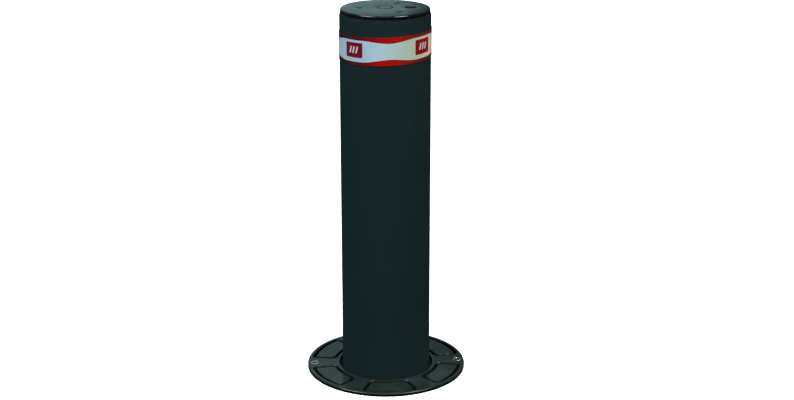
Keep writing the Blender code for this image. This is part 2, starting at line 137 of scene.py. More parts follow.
def lathe(name, outline, segments=ROUND, at=(0, 0)):
    """Turns a closed outline of (radius, height) about a vertical axis. Points on the axis are merged."""
    count = len(outline)
    points = []
    for i in range(segments):
        turn = 2 * pi * i / segments
        points += [(at[0] + r * cos(turn), at[1] + r * sin(turn), z) for r, z in outline]
    faces = []
    for i in range(segments):
        a, b = i * count, (i + 1) % segments * count
        for j in range(count):
            k = (j + 1) % count
            if max(outline[j][0], outline[k][0]) > 1e-7:
                faces.append((a + j, b + j, b + k, a + k))
    return from_faces(name, points, faces, merge=1e-6)


def prism(name, outline, bottom, top):
    """An upright prism on an (x, y) outline."""
    count = len(outline)
    low = [(*p, bottom) for p in outline]
    high = [(*p, top) for p in outline]
    sides = [(i, (i + 1) % count, count + (i + 1) % count, count + i) for i in range(count)]
    caps = [tuple(range(count))[::-1], tuple(range(count, 2 * count))]
    return from_faces(name, low + high, sides + caps)


def polygon(sides, radius, at=(0, 0), turn=0.0):
    return [
        (at[0] + radius * cos(2 * pi * i / sides + turn), at[1] + radius * sin(2 * pi * i / sides + turn))
        for i in range(sides)
    ]


SLIVER = 0.002 * MM  # points closer than this are merged after a cut


def applied(item):
    """Makes the item's modifiers part of its mesh."""
    graph = bpy.context.evaluated_depsgraph_get()
    mesh = bpy.data.meshes.new_from_object(item.evaluated_get(graph))
    item.modifiers.clear()
    item.data = mesh
    return item


def carve(item, cutters):
    """Cuts the cutters out of the item, and merges the slivers that this leaves."""
    for cutter in cutters:
        modifier = item.modifiers.new("carve", "BOOLEAN")
        modifier.operation = "DIFFERENCE"
        modifier.solver = "EXACT"
        modifier.object = cutter
    applied(item)
    for cutter in cutters:
        bpy.data.objects.remove(cutter, do_unlink=True)
    made = bmesh.new()
    made.from_mesh(item.data)
    bmesh.ops.remove_doubles(made, verts=made.verts, dist=SLIVER)
    made.to_mesh(item.data)
    made.free()
    return item


def shade(item, sharp=35):
    item.data.shade_smooth()
    item.data.set_sharp_from_angle(angle=radians(sharp))
    return item


def piece(item, body, slot, finishes, *nodes):
    """Finishes a new piece: its materials, the body it rides on and the CAD nodes it stands for."""
    item.data.materials.clear()
    for finish in finishes if isinstance(finishes, list) else [finishes]:
        item.data.materials.append(finish)
    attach(item, body)
    if nodes:
        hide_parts(*nodes)
    return item


# Materials

def set_stops(ramp_node, stops):
    """Gives a colour ramp its (position, colour) stops, in rising order."""
    elements = ramp_node.color_ramp.elements
    elements.remove(elements[1])
    elements[0].position = stops[0][0]
    elements[0].color = (*stops[0][1], 1)
    for position, color in stops[1:]:
        elements.new(position).color = (*color, 1)


class Look:
    """A material under construction. Its textures are fixed to the piece, in millimetres."""

    def __init__(self, name):
        self.material = bpy.data.materials.new(name)
        self.material.use_nodes = True
        self.tree = self.material.node_tree
        self.tree.nodes.clear()
        place = self.node("TexCoord").outputs["Object"]
        scaled = self.node("VectorMath", {0: place, 1: (1000, 1000, 1000)}, operation="MULTIPLY")
        self.place = scaled.outputs[0]

    def node(self, kind, inputs=None, **settings):
        made = self.tree.nodes.new("ShaderNode" + kind)
        for key, value in settings.items():
            setattr(made, key, value)
        for key, value in (inputs or {}).items():
            if isinstance(value, bpy.types.NodeSocket):
                self.tree.links.new(value, made.inputs[key])
            else:
                made.inputs[key].default_value = value
        return made

    def math(self, operation, a, b):
        return self.node("Math", {0: a, 1: b}, operation=operation).outputs[0]

    def stretched(self, x, y, z):
        return self.node("VectorMath", {0: self.place, 1: (x, y, z)}, operation="MULTIPLY").outputs[0]

    def noise(self, size, detail=2.0, place=None):
        """Noise between 0 and 1 whose blotches are about size millimetres."""
        inputs = {"Vector": place or self.place, "Scale": 1 / size, "Detail": detail}
        return self.node("TexNoise", inputs).outputs["Fac"]

    def cells(self, size, output="Distance"):
        """Cells of about size millimetres, by distance from their middle or by random colour."""
        return self.node("TexVoronoi", {"Vector": self.place, "Scale": 1 / size}).outputs[output]

    def between(self, factor, low, high, start=0.0, end=1.0):
        """Runs from low to high as the factor goes from start to end."""
        inputs = {0: factor, 1: start, 2: end, 3: low, 4: high}
        return self.node("MapRange", inputs).outputs[0]

    def mix(self, factor, one, other, blend="MIX"):
        made = self.node("Mix", data_type="RGBA", blend_type=blend)
        for socket, value in zip((made.inputs[0], made.inputs[6], made.inputs[7]), (factor, one, other)):
            if isinstance(value, bpy.types.NodeSocket):
                self.tree.links.new(value, socket)
            else:
                socket.default_value = value if isinstance(value, float) else (*value, 1)
        return made.outputs[2]

    def ramp(self, factor, stops):
        """Colours that blend into each other along the factor, from (position, colour) stops."""
        made = self.node("ValToRGB", {0: factor})
        set_stops(made, stops)
        return made.outputs["Color"]

    def bump(self, height, distance, strength=1.0, under=None):
        """Relief of this height, whose full depth is distance in millimetres."""
        inputs = {"Height": height, "Distance": distance * MM, "Strength": strength}
        if under:
            inputs["Normal"] = under
        return self.node("Bump", inputs).outputs[0]

    def azimuth(self):
        """The azimuth of the surface about the post's axis, in radians."""
        split = self.node("SeparateXYZ", {0: self.place}).outputs
        return self.math("ARCTAN2", split["Y"], split["X"])

    def height(self):
        return self.node("SeparateXYZ", {0: self.place}).outputs["Z"]

    def done(self, color, roughness, flat_color, **inputs):
        """Closes the material with a Principled shader, and returns it.

        The flat colour stands in for the material where its nodes aren't read."""
        named = {key.replace("_", " "): value for key, value in inputs.items()}
        shader = self.node("BsdfPrincipled", {"Base Color": color, "Roughness": roughness, **named})
        shader.inputs["Base Color"].default_value = (*flat_color, 1)
        self.material.diffuse_color = (*flat_color, 1)
        self.node("OutputMaterial", {0: shader.outputs[0]})
        return self.material


def post_paint():
    """Satin powder coat: fine orange peel, slightly uneven gloss, and faint rub marks along the travel."""
    look = Look("post_paint")
    peel = look.noise(1.3, 2)
    grain = look.noise(0.35, 1)
    cloud = look.noise(70, 3)
    rub = look.noise(1.0, 2, look.stretched(0.8, 0.8, 0.012))
    dark, light = (0.0090, 0.0208, 0.0232), (0.0110, 0.0250, 0.0280)
    color = look.mix(cloud, dark, light)
    color = look.mix(look.between(rub, 0.0, 0.12, 0.66, 0.80), color, (0.05, 0.06, 0.06))
    roughness = look.between(cloud, 0.50, 0.60, 0.3, 0.7)
    normal = look.bump(grain, 0.01, 0.4, look.bump(peel, 0.05, 0.5))
    return look.done(color, roughness, light, Normal=normal, Specular_IOR_Level=0.06)


def black_enamel():
    """Gloss enamel over sand-cast iron: its skin shows as low waves and pits, and its low parts are darker
    and duller, with grime and painted shade.
    """
    look = Look("black_enamel")
    waves = look.noise(6.0, 3)
    skin = look.noise(1.6, 3)
    pits = look.between(look.cells(2.6), 0.0, 1.0, 0.05, 0.30)
    dust = look.noise(25, 4)
    dark, light = (0.0115, 0.0195, 0.0170), (0.020, 0.032, 0.028)
    color = look.mix(look.between(dust, 0.0, 1.0, 0.45, 0.75), dark, light)
    roughness = look.between(look.noise(9, 3), 0.12, 0.24, 0.3, 0.7)
    # Painted shade with grime: below 2.4 to 4 mm, in the grooves and round the flange's foot, the enamel
    # turns near-black, rougher and less glossy.
    dirt_and_shade = look.between(look.height(), 1.0, 0.0, 2.4, 4.0)
    color = look.mix(dirt_and_shade, color, (0.0014, 0.0026, 0.0024))
    roughness = look.between(dirt_and_shade, roughness, 0.6)
    gloss = look.between(dirt_and_shade, 0.45, 0.08)
    normal = look.bump(waves, 0.20, 0.20)
    normal = look.bump(skin, 0.05, 0.25, normal)
    normal = look.bump(pits, 0.03, 0.20, normal)
    return look.done(color, roughness, light, Normal=normal, Specular_IOR_Level=gloss)


def cap_enamel():
    """The same enamel on the machined cap: flatter, with fine turning marks under the gloss."""
    look = Look("cap_enamel")
    radius = look.node("VectorMath", {0: look.stretched(1, 1, 0)}, operation="LENGTH").outputs["Value"]
    rings = look.noise(1.0, 1, look.node("CombineXYZ", {0: look.math("MULTIPLY", radius, 0.9)}).outputs[0])
    peel = look.noise(2.2, 2)
    dust = look.noise(14, 4)
    dark, light = (0.0015, 0.0040, 0.0048), (0.006, 0.011, 0.012)
    color = look.mix(look.between(dust, 0.0, 1.0, 0.4, 0.75), dark, light)
    roughness = look.between(look.noise(11, 3), 0.13, 0.24, 0.3, 0.7)
    normal = look.bump(rings, 0.01, 0.15, look.bump(peel, 0.04, 0.20))
    return look.done(color, roughness, light, Normal=normal, Specular_IOR_Level=0.6)


def film(name, hues_with_painted_light, roughness, metallic):
    """Prismatic film: a clear face over a lattice of small cells that catch the light one by one.

    Its colour shifts round the post, through hues given by azimuth from -180 to 180 degrees: the film's own
    colour, with light and shade painted into it."""
    look = Look(name)
    pitch = 3.4  # millimetres between two lines of the lattice
    azimuth = look.azimuth()
    along = look.math("MULTIPLY", azimuth, BAND_R / MM)
    up = look.height()
    lines = None
    for angle in (0, 60, 120):
        across = look.math("MULTIPLY", along, cos(radians(angle)) / pitch)
        across = look.math("ADD", across, look.math("MULTIPLY", up, sin(radians(angle)) / pitch))
        wave = look.math("PINGPONG", across, 0.5)
        line = look.between(wave, 1.0, 0.0, 0.0, 0.10)
        lines = line if lines is None else look.math("MAXIMUM", lines, line)
    prisms = look.cells(0.9)
    shimmer = look.noise(7, 2)
    turn = look.between(azimuth, 0.0, 1.0, -pi, pi)
    # Painted light and shade: this ramp makes the film lighter or darker, warmer or cooler, by azimuth round
    # the post, over its own colour.
    base = look.ramp(turn, [((place + 180) / 360, hue) for place, hue in hues_with_painted_light])
    deeper = look.mix(1.0, base, base, "MULTIPLY")
    base = look.mix(look.between(shimmer, 0.0, 0.15, 0.35, 0.75), base, deeper)
    shaded = look.mix(1.0, base, (0.55, 0.55, 0.55), "MULTIPLY")
    base = look.mix(look.math("MULTIPLY", lines, 0.18), base, shaded)
    rough = look.between(prisms, roughness, roughness + 0.15, 0.1, 0.6)
    normal = look.bump(lines, 0.03, 0.5, look.bump(prisms, 0.03, 0.25))
    return look.done(
        base,
        rough,
        hues_with_painted_light[0][1],
        Metallic=metallic,
        Normal=normal,
        Coat_Weight=0.05,
        Coat_Roughness=0.12,
        Specular_IOR_Level=0.15,
    )


def socket_grime_and_shade():
    """Painted shade for the sockets of the screws, together with old grease and road grime packed into them.
    """
    look = Look("socket_grime_and_shade")
    # Near-black: painted shade in the sockets, together with the grime.
    color = look.mix(look.noise(0.8, 3), (0.004, 0.004, 0.004), (0.020, 0.019, 0.017))
    normal = look.bump(look.noise(0.3, 3), 0.08, 0.6)
    roughness = look.between(look.noise(0.6, 2), 0.55, 0.85)
    return look.done(color, roughness, (0.010, 0.010, 0.009), Normal=normal)


def zinc():
    """Bright zinc plate with a faint bluish passivation."""
    look = Look("zinc")
    blush = look.noise(3.5, 3)
    color = look.mix(blush, (0.60, 0.63, 0.66), (0.72, 0.71, 0.66))
    roughness = look.between(look.noise(1.2, 3), 0.20, 0.38, 0.3, 0.7)
    normal = look.bump(look.noise(0.5, 2), 0.02, 0.4)
    return look.done(color, roughness, (0.66, 0.67, 0.66), Metallic=1.0, Normal=normal)


def galvanised():
    """Hot-dip zinc: crystals of different tone, dull patches and a lumpy skin."""
    look = Look("galvanised")
    crystals = look.cells(9, output="Color")
    tone = look.node("SeparateColor", {0: crystals}).outputs[0]
    dull = look.noise(35, 4)
    color = look.mix(tone, (0.36, 0.38, 0.40), (0.56, 0.58, 0.60))
    color = look.mix(look.between(dull, 0.0, 0.7, 0.45, 0.70), color, (0.34, 0.345, 0.34))
    roughness = look.between(dull, 0.34, 0.62, 0.35, 0.70)
    normal = look.bump(look.noise(4, 3), 0.10, 0.35, look.bump(tone, 0.02, 0.3))
    return look.done(color, roughness, (0.42, 0.44, 0.45), Metallic=0.9, Normal=normal)


def bright_steel():
    """Ground and polished steel, with the finest of grinding lines round it."""
    look = Look("bright_steel")
    lines = look.noise(0.25, 2, look.stretched(0.05, 0.05, 1.0))
    color = look.mix(look.noise(30, 2), (0.52, 0.53, 0.54), (0.60, 0.61, 0.62))
    roughness = look.between(lines, 0.12, 0.28, 0.3, 0.7)
    return look.done(color, roughness, (0.55, 0.56, 0.57), Metallic=1.0, Normal=look.bump(lines, 0.01, 0.3))


def cylinder_paint():
    """Black dip paint with runs and a little orange peel."""
    look = Look("cylinder_paint")
    color = look.mix(look.noise(40, 3), (0.016, 0.016, 0.017), (0.026, 0.026, 0.027))
    roughness = look.between(look.noise(15, 3), 0.32, 0.48, 0.3, 0.7)
    normal = look.bump(look.noise(2.0, 2), 0.05, 0.3)
    return look.done(color, roughness, (0.02, 0.02, 0.02), Normal=normal)


def rubber():
    """Moulded black rubber, matt, with a light bloom."""
    look = Look("rubber")
    bloom = look.between(look.noise(12, 5), 0.0, 0.5, 0.50, 0.80)
    color = look.mix(bloom, (0.010, 0.010, 0.010), (0.028, 0.028, 0.027))
    roughness = look.between(look.noise(3, 3), 0.66, 0.86, 0.3, 0.7)
    normal = look.bump(look.noise(0.6, 3), 0.04, 0.5)
    return look.done(color, roughness, (0.012, 0.012, 0.012), Normal=normal, Specular_IOR_Level=0.3)


def nylon():
    """Machined cast nylon: creamy, slightly translucent, with turning marks."""
    look = Look("nylon")
    marks = look.noise(0.7, 1, look.stretched(0.02, 0.02, 1.0))
    color = look.mix(look.noise(30, 3), (0.52, 0.50, 0.43), (0.60, 0.58, 0.52))
    roughness = look.between(marks, 0.42, 0.58, 0.3, 0.7)
    return look.done(
        color,
        roughness,
        (0.55, 0.53, 0.47),
        Normal=look.bump(marks, 0.03, 0.5),
        Subsurface_Weight=0.15,
        Subsurface_Radius=(2 * MM, 2 * MM, 1.5 * MM),
    )


def pipe_plastic():
    """Extruded grey PVC: long faint die lines and scuffs."""
    look = Look("pipe_plastic")
    lines = look.noise(0.8, 2, look.stretched(1.0, 1.0, 0.01))
    scuffs = look.between(look.noise(18, 5), 0.0, 0.35, 0.55, 0.75)
    color = look.mix(scuffs, (0.19, 0.20, 0.21), (0.30, 0.31, 0.31))
    roughness = look.between(lines, 0.34, 0.50, 0.3, 0.7)
    return look.done(color, roughness, (0.20, 0.21, 0.22), Normal=look.bump(lines, 0.02, 0.5))


def brass():
    """Turned brass, dulled unevenly by handling."""
    look = Look("brass")
    tarnish = look.between(look.noise(5, 4), 0.0, 1.0, 0.40, 0.75)
    color = look.mix(tarnish, (0.66, 0.48, 0.19), (0.34, 0.23, 0.10))
    roughness = look.between(tarnish, 0.22, 0.46)
    lines = look.noise(0.3, 1, look.stretched(0.1, 0.1, 1.0))
    return look.done(color, roughness, (0.60, 0.44, 0.18), Metallic=1.0, Normal=look.bump(lines, 0.01, 0.3))


def print_ink():
    """Opaque white ink on the film."""
    look = Look("print_ink")
    color = look.mix(look.noise(2, 3), (0.60, 0.58, 0.60), (0.74, 0.72, 0.74))
    return look.done(color, look.between(look.noise(1, 2), 0.35, 0.5), (0.68, 0.66, 0.68))


POST_PAINT = post_paint()
BLACK_ENAMEL = black_enamel()
CAP_ENAMEL = cap_enamel()
# What the film shows round the post, by azimuth in degrees: its own silver and red with painted light and
# shade. The red is painted dark at -180 and -10 and bright near -95 and at the back, the silver is painted
# cool on the -X side with a warm painted highlight near -22, and the patches are painted darker on the -X
# side.
SILVER_HUES_WITH_PAINTED_LIGHT = (
    (-180, (0.50, 0.66, 0.78)),
    (-100, (0.56, 0.74, 0.88)),
    (-75, (0.56, 0.74, 0.70)),
    (-50, (0.60, 0.70, 0.52)),
    (-22, (0.95, 0.74, 0.66)),
    (40, (0.56, 0.72, 0.82)),
    (180, (0.50, 0.66, 0.78)),
)
RED_HUES_WITH_PAINTED_LIGHT = (
    (-180, (0.045, 0.008, 0.020)),
    (-148, (0.075, 0.008, 0.020)),
    (-124, (0.16, 0.006, 0.012)),
    (-110, (0.30, 0.005, 0.006)),
    (-97, (0.45, 0.006, 0.003)),
    (-76, (0.44, 0.012, 0.005)),
    (-58, (0.26, 0.014, 0.008)),
    (-44, (0.17, 0.014, 0.010)),
    (-10, (0.16, 0.014, 0.010)),
    (60, (0.42, 0.008, 0.004)),
    (130, (0.36, 0.006, 0.004)),
    (180, (0.045, 0.008, 0.020)),
)
PATCH_HUES_WITH_PAINTED_LIGHT = (
    (-180, (0.23, 0.004, 0.030)),
    (-95, (0.27, 0.004, 0.018)),
    (-30, (0.34, 0.006, 0.010)),
    (180, (0.23, 0.004, 0.030)),
)
FILM_SILVER = film("film_silver", SILVER_HUES_WITH_PAINTED_LIGHT, 0.30, 0.05)
FILM_RED = film("film_red", RED_HUES_WITH_PAINTED_LIGHT, 0.30, 0.0)
PATCH_RED = film("patch_red", PATCH_HUES_WITH_PAINTED_LIGHT, 0.35, 0.0)
PRINT_INK = print_ink()
ZINC = zinc()
SOCKET_GRIME_AND_SHADE = socket_grime_and_shade()
GALVANISED = galvanised()
BRIGHT_STEEL = bright_steel()
CYLINDER_PAINT = cylinder_paint()
RUBBER = rubber()
NYLON = nylon()
PIPE_PLASTIC = pipe_plastic()
BRASS = brass()


# Ground flange: a casting, drawn as a height over a polar grid

PADS = 6
PAD_R = (67.5 * MM, 96.5 * MM)
PAD_HALF = radians(20)
PAD_CORNER = (7 * MM, 3.5 * MM)  # radius of its inner and of its outer corners
PAD_TOP = 4.2 * MM
GROOVE_FLOOR = 1.0 * MM  # a groove runs round each pad, along its outline
GROOVE_HALF = 2.5 * MM
WALL_RUN = 1.0 * MM  # how far a groove's wall leans
BORE_LIP = 1.0 * MM
RIM_EDGE = 1.6 * MM
FLANGE_BORE_R = 61 * MM
FLANGE_SCREWS = ("flange_screw_left", "flange_screw_right")


def smoothstep(x):
    x = np.clip(x, 0, 1)
    return x * x * (3 - 2 * x)


def spread(stops):
    """Points along a line from (position, spacing) stops: each stretch keeps its own spacing."""
    line = [stops[0][0]]
    for (start, spacing), (end, _) in zip(stops, stops[1:]):
        count = max(1, ceil((end - start) / spacing))
        line += [start + (end - start) * (i + 1) / count for i in range(count)]
    return np.array(line)


def pad_distance(radius, turn):
    """Signed distance to the outline of the nearest pad, below 0 inside it."""
    pitch = 2 * pi / PADS
    off = np.abs((turn % pitch) - pitch / 2)
    inner, outer = PAD_R
    across = np.abs(radius - (inner + outer) / 2) - (outer - inner) / 2
    along = radius * np.sin(off - PAD_HALF)
    corner = np.where(radius < (inner + outer) / 2, *PAD_CORNER)
    a, b = across + corner, along + corner
    outside = np.hypot(np.maximum(a, 0), np.maximum(b, 0))
    return outside + np.minimum(np.maximum(a, b), 0) - corner


def casting_height(radius, turn):
    """Top of the flange: hub, spokes and rim, and the pads that grooves cut out between them."""
    outside = pad_distance(radius, turn)
    land = np.where(outside > 0, FLANGE_TOP, PAD_TOP)
    wall = smoothstep((np.abs(outside) - GROOVE_HALF + WALL_RUN) / WALL_RUN)
    height = GROOVE_FLOOR + (land - GROOVE_FLOOR) * wall
    lip = np.clip((FLANGE_BORE_R + BORE_LIP - radius) / BORE_LIP, 0, 1)
    height -= BORE_LIP * (1 - np.sqrt(1 - lip**2))
    edge = np.clip((radius - FLANGE_R + RIM_EDGE) / RIM_EDGE, 0, 1)
    height -= RIM_EDGE * (1 - np.sqrt(1 - edge**2))
    return height


def casting_grid():
    """Radii and azimuths of the flange's grid, close together at its grooves and rounded edges."""
    fine, coarse, fillet = 0.35 * MM, 1.6 * MM, 0.2 * MM
    inner, outer = PAD_R
    radii = spread(
        [
            (FLANGE_BORE_R, fillet),
            (FLANGE_BORE_R + BORE_LIP, coarse),
            (inner - GROOVE_HALF, fine),
            (inner + PAD_CORNER[0], coarse),
            (outer - PAD_CORNER[1] - WALL_RUN, fine),
            (outer + GROOVE_HALF, coarse),
            (FLANGE_R - RIM_EDGE, fillet),
            (FLANGE_R, fillet),
        ]
    )
    half_pitch = pi / PADS
    span = spread(
        [
            (0, radians(1.4)),
            (PAD_HALF - radians(6), radians(0.25)),
            (PAD_HALF + radians(2.2), radians(1.2)),
            (half_pitch, radians(1.2)),
        ]
    )
    sector = np.concatenate([-span[:0:-1], span[:-1]]) + half_pitch
    turns = np.concatenate([sector + 2 * half_pitch * i for i in range(PADS)])
    return radii, turns


def cast_disc():
    """The flange without its holes: each of its rings runs out along the top and back along the underside."""
    radii, turns = casting_grid()
    grid_r, grid_t = np.meshgrid(radii, turns)
    top = casting_height(grid_r, grid_t)
    columns, ring = len(turns), len(radii) + 2
    xy = np.stack([grid_r * np.cos(grid_t), grid_r * np.sin(grid_t)], -1)
    upper = np.concatenate([xy, top[..., None]], -1)
    under = np.concatenate([xy[:, [-1, 0]], np.zeros((columns, 2, 1))], -1)
    points = np.concatenate([upper, under], 1).reshape(-1, 3)
    faces = []
    for i in range(columns):
        a, b = i * ring, (i + 1) % columns * ring
        for j in range(ring):
            k = (j + 1) % ring
            faces.append((a + j, a + k, b + k, b + j))
    return from_faces("flange_casting", points, faces)


def make_flange():
    holes = [screw_hole(node, 0.45 * MM, 0.55, (0, FLANGE_TOP), 2 * MM) for node in FLANGE_SCREWS]
    flange = shade(carve(cast_disc(), holes), 40)
    piece(flange, "casing", "black_enamel", BLACK_ENAMEL, "flange")


# Screws and the lock

HEAD_PER_SHANK = 1.9  # the head's radius over the shank's
SOCKET_R, SOCKET_DEPTH = 0.58, 0.45  # shares of the head's radius
SOCKET_TURNS = (17, 41)  # degrees, for the screws on the +X side and for the others


def screw_hole(node, gap, bore, plate, above):
    """A cutter for a screw's countersunk hole through a plate from bottom to top.

    Its mouth is wider than the head by the gap, and its bore is given as a share of its mouth's radius."""
    bottom, top = plate
    head_r = outer_radius(node) + gap
    bore_r = bore * head_r
    outline = [
        (0, top + above),
        (head_r + above, top + above),
        (head_r, top),
        (bore_r, top - (head_r - bore_r)),
        (bore_r, bottom - MM),
        (0, bottom - MM),
    ]
    return lathe("hole_for_" + node, outline, SMALL_ROUND, centre(node))


def make_screw(node, body, slot, finish):
    """A countersunk screw with a hexagon socket, chamfered like a real one, whose socket is darkened with
    grime and painted shade.
    """
    low, top = heights(node)
    at = centre(node)
    head_r = outer_radius(node)
    shank_r = head_r / HEAD_PER_SHANK
    edge = 0.25 * MM
    outline = [
        (0, top),
        (head_r - edge, top),
        (head_r, top - edge),
        (head_r, top - 2 * edge),
        (shank_r, top - 2 * edge - (head_r - shank_r)),
        (shank_r, low + 2 * edge),
        (shank_r - 2 * edge, low),
        (0, low),
    ]
    screw = lathe(node + "_turned", outline, SMALL_ROUND, at)
    socket_r = SOCKET_R * head_r
    depth = SOCKET_DEPTH * head_r
    lead = 0.3 * MM
    turn = radians(SOCKET_TURNS[0] if at[0] > 0 else SOCKET_TURNS[1])
    socket = prism(node + "_socket", polygon(6, socket_r, at, turn), top - depth, top + MM)
    cone = [(0, top + MM), (socket_r + MM, top + MM), (socket_r - lead, top - lead), (0, top - lead)]
    shade(carve(screw, [socket, lathe(node + "_lead", cone, SMALL_ROUND, at)]), 30)
    piece(screw, body, slot, [finish, SOCKET_GRIME_AND_SHADE], node)
    near = 0.1 * MM
    # The socket's faces take the second finish: painted shade with grime.
    for face in screw.data.polygons:
        off = (face.center - Vector((*at, top))).xy.length
        in_socket = off < socket_r + near and top - depth - near < face.center.z < top - lead / 2
        face.material_index = int(in_socket)


def make_lock():
    """The lock's barrel, and in it the core with its keyway."""
    edge, fine = 0.5 * MM, 0.3 * MM
    bore_r = PLUG_R + GAP
    outline = rounded(
        [
            (LOCK_R, LOCK_TOP, edge),
            (LOCK_R, LOCK_BOTTOM, edge),
            (bore_r, LOCK_BOTTOM, 0),
            (bore_r, LOCK_TOP, edge),
        ]
    )
    piece(shade(lathe("lock_barrel", outline, SMALL_ROUND, LOCK_AT)), "post", "brass", BRASS, "lock_housing")
    outline = rounded(
        [
            (PLUG_R, PLUG_TOP, fine),
            (PLUG_R, PLUG_BOTTOM, fine),
            (0, PLUG_BOTTOM, 0),
            (0, PLUG_TOP, 0),
        ]
    )
    plug = lathe("lock_core", outline, SMALL_ROUND, LOCK_AT)
    x, y = LOCK_AT
    half, width, ward = 3 * MM, 0.7 * MM, 0.8 * MM
    depth = 10 * MM
    keyway = [
        (x - half, y - width),
        (x - 0.6 * MM, y - width),
        (x, y - width + ward),
        (x + 1.2 * MM, y - width),
        (x + half, y - width),
        (x + half, y + width),
        (x - half, y + width),
    ]
    slot = prism("keyway", keyway, PLUG_TOP - depth, PLUG_TOP + MM)
    piece(shade(carve(plug, [slot]), 30), "lock", "brass", BRASS, "lock_plug")


# Head

CAP_SCREWS = ("cap_screw_1", "cap_screw_2", "cap_screw_3")


def lock_recess():
    """A cutter for the lock's hole through the cap, with a chamfered mouth."""
    lead = 0.5 * MM
    lock_r = LOCK_R + GAP
    outline = [
        (0, CAP_TOP + MM),
        (lock_r + lead + MM, CAP_TOP + MM),
        (lock_r, CAP_TOP - lead),
        (lock_r, CAP_BOTTOM - MM),
        (0, CAP_BOTTOM - MM),
    ]
    return lathe("lock_recess", outline, SMALL_ROUND, LOCK_AT)


def make_cap():
    """The cap: a flat top with a turned ring in its middle, a rolled edge, a spigot below, and its holes."""
    rolled = 1.8 * MM
    groove = (8.6 * MM, 10.2 * MM)
    floor = CAP_TOP - 0.6 * MM
    soft, draft = 0.25 * MM, 0.2 * MM
    spigot_r = POST_BORE_R - GAP
    outline = rounded(
        [
            (0, CAP_TOP, 0),
            (groove[0], CAP_TOP, soft),
            (groove[0] + draft, floor, soft),
            (groove[1] - draft, floor, soft),
            (groove[1], CAP_TOP, soft),
            (CAP_R, CAP_TOP, rolled),
            (CAP_R, CAP_SEAT, 0.4 * MM),
            (spigot_r, CAP_SEAT, 0),
            (spigot_r, CAP_BOTTOM, 0.6 * MM),
            (0, CAP_BOTTOM, 0),
        ],
        6,
    )
    holes = [lock_recess()]
    holes += [screw_hole(node, 0.35 * MM, 0.6, (CAP_BOTTOM, CAP_TOP), MM) for node in CAP_SCREWS]
    cap = shade(carve(lathe("head_cap_turned", outline), holes), 40)
    piece(cap, "post", "black_enamel", CAP_ENAMEL, "head_cap")


# Post

def make_post():
    """The tube, with the slot that its bolt comes out of."""
    outer, inner = 0.8 * MM, 0.4 * MM
    outline = rounded(
        [
            (POST_R, POST_TOP, outer),
            (POST_R, POST_BOTTOM, outer),
            (POST_BORE_R, POST_BOTTOM, inner),
            (POST_BORE_R, POST_TOP, inner),
        ]
    )
    tube = lathe("post_skin", outline)
    low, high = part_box("latch_bolt")
    play, over = 0.6 * MM, 5 * MM
    corners = [
        (POST_BORE_R - over, low.y - play),
        (POST_R + over, low.y - play),
        (POST_R + over, high.y + play),
        (POST_BORE_R - over, high.y + play),
    ]
    shade(carve(tube, [prism("bolt_slot", corners, low.z - play, high.z + play)]), 30)
    piece(tube, "post", "post_paint", POST_PAINT, "post_tube")


# Reflective band: its print is worked out in degrees round the post and millimetres up it

BAND_LOW, BAND_HIGH = heights("reflective_band")
BAND_TILT = 2.1 * MM  # how much higher the band sits at +X than on the axis
BAND_Z = (BAND_LOW + BAND_HIGH) / 2
BAND_HALF = (BAND_HIGH - BAND_LOW) / 2 - BAND_TILT
BAND_BORE_R = POST_R + GAP
PATCHES = 4
REPEAT = 94.5  # degrees between two red patches
FIRST_PATCH = 130.5  # azimuth of the first patch after the seam
SEAM = 92.0  # azimuth of the butt joint
SEAM_GAP = 0.4  # degrees
WAIST, SHOULDER = 9.8, 13.4  # half-heights of the silver zone, in millimetres
EASE = 36.0  # degrees that the silver zone takes to widen
PATCH_HALF = 13.2  # degrees
PATCH_Z = (-8.3, 10.3)  # millimetres
PATCH_CORNER = 1.6  # radius in millimetres
CORNER_COLUMNS = (0, 0.05, 0.2, 0.45, 0.8, 1.2, 1.6)  # degrees in from a patch's side, along its corners
COLUMNS = 288  # evenly spaced ones besides those
SILVER_ZONE, RED_ZONE, PATCH_ZONE = 0, 1, 2  # where the band's finishes stand in its list
BAR_SLICES = 4


def band_middle(azimuth):
    return BAND_Z + BAND_TILT * cos(radians(azimuth))


def patch_offset(azimuth):
    """Degrees from the middle of the nearest patch."""
    return (azimuth - FIRST_PATCH + REPEAT / 2) % REPEAT - REPEAT / 2


def silver_half(azimuth):
    """Half the height of the silver zone: wide round each patch, narrow halfway between them."""
    from_waist = REPEAT / 2 - abs(patch_offset(azimuth))
    return WAIST + (SHOULDER - WAIST) * float(smoothstep(from_waist / EASE))


def patch_rows(azimuth):
    """Lower and upper edge of the patch's rows, drawn in at its rounded corners."""
    past = (abs(patch_offset(azimuth)) - PATCH_HALF) * radians(1) * BAND_R / MM + PATCH_CORNER
    drawn = PATCH_CORNER - (max(PATCH_CORNER**2 - min(max(past, 0), PATCH_CORNER) ** 2, 0)) ** 0.5
    return PATCH_Z[0] + drawn, PATCH_Z[1] - drawn


def band_azimuths():
    """Azimuths of the band's columns, from the seam round to it, close together at each patch's corners."""
    columns = set(np.linspace(SEAM, SEAM + 360, COLUMNS, endpoint=False).round(3))
    for patch in range(PATCHES):
        middle = FIRST_PATCH + REPEAT * patch
        for inset in CORNER_COLUMNS:
            columns.add(round(middle - PATCH_HALF + inset, 3))
            columns.add(round(middle + PATCH_HALF - inset, 3))
    return sorted(columns)


def band_column(azimuth):
    """Points up the outside of the band, along the borders of its print, and down its inside."""
    edge, least = BAND_HALF / MM, 0.1  # least silver between a patch and the red
    half = silver_half(azimuth)
    low, high = patch_rows(azimuth)
    rows = [-edge, -half, max(low, least - half), min(high, half - least), half, edge]
    column = [(BAND_R, row) for row in rows] + [(BAND_BORE_R, row) for row in (edge, -edge)]
    turn = radians(azimuth)
    return [(r * cos(turn), r * sin(turn), band_middle(azimuth) + row * MM) for r, row in column]


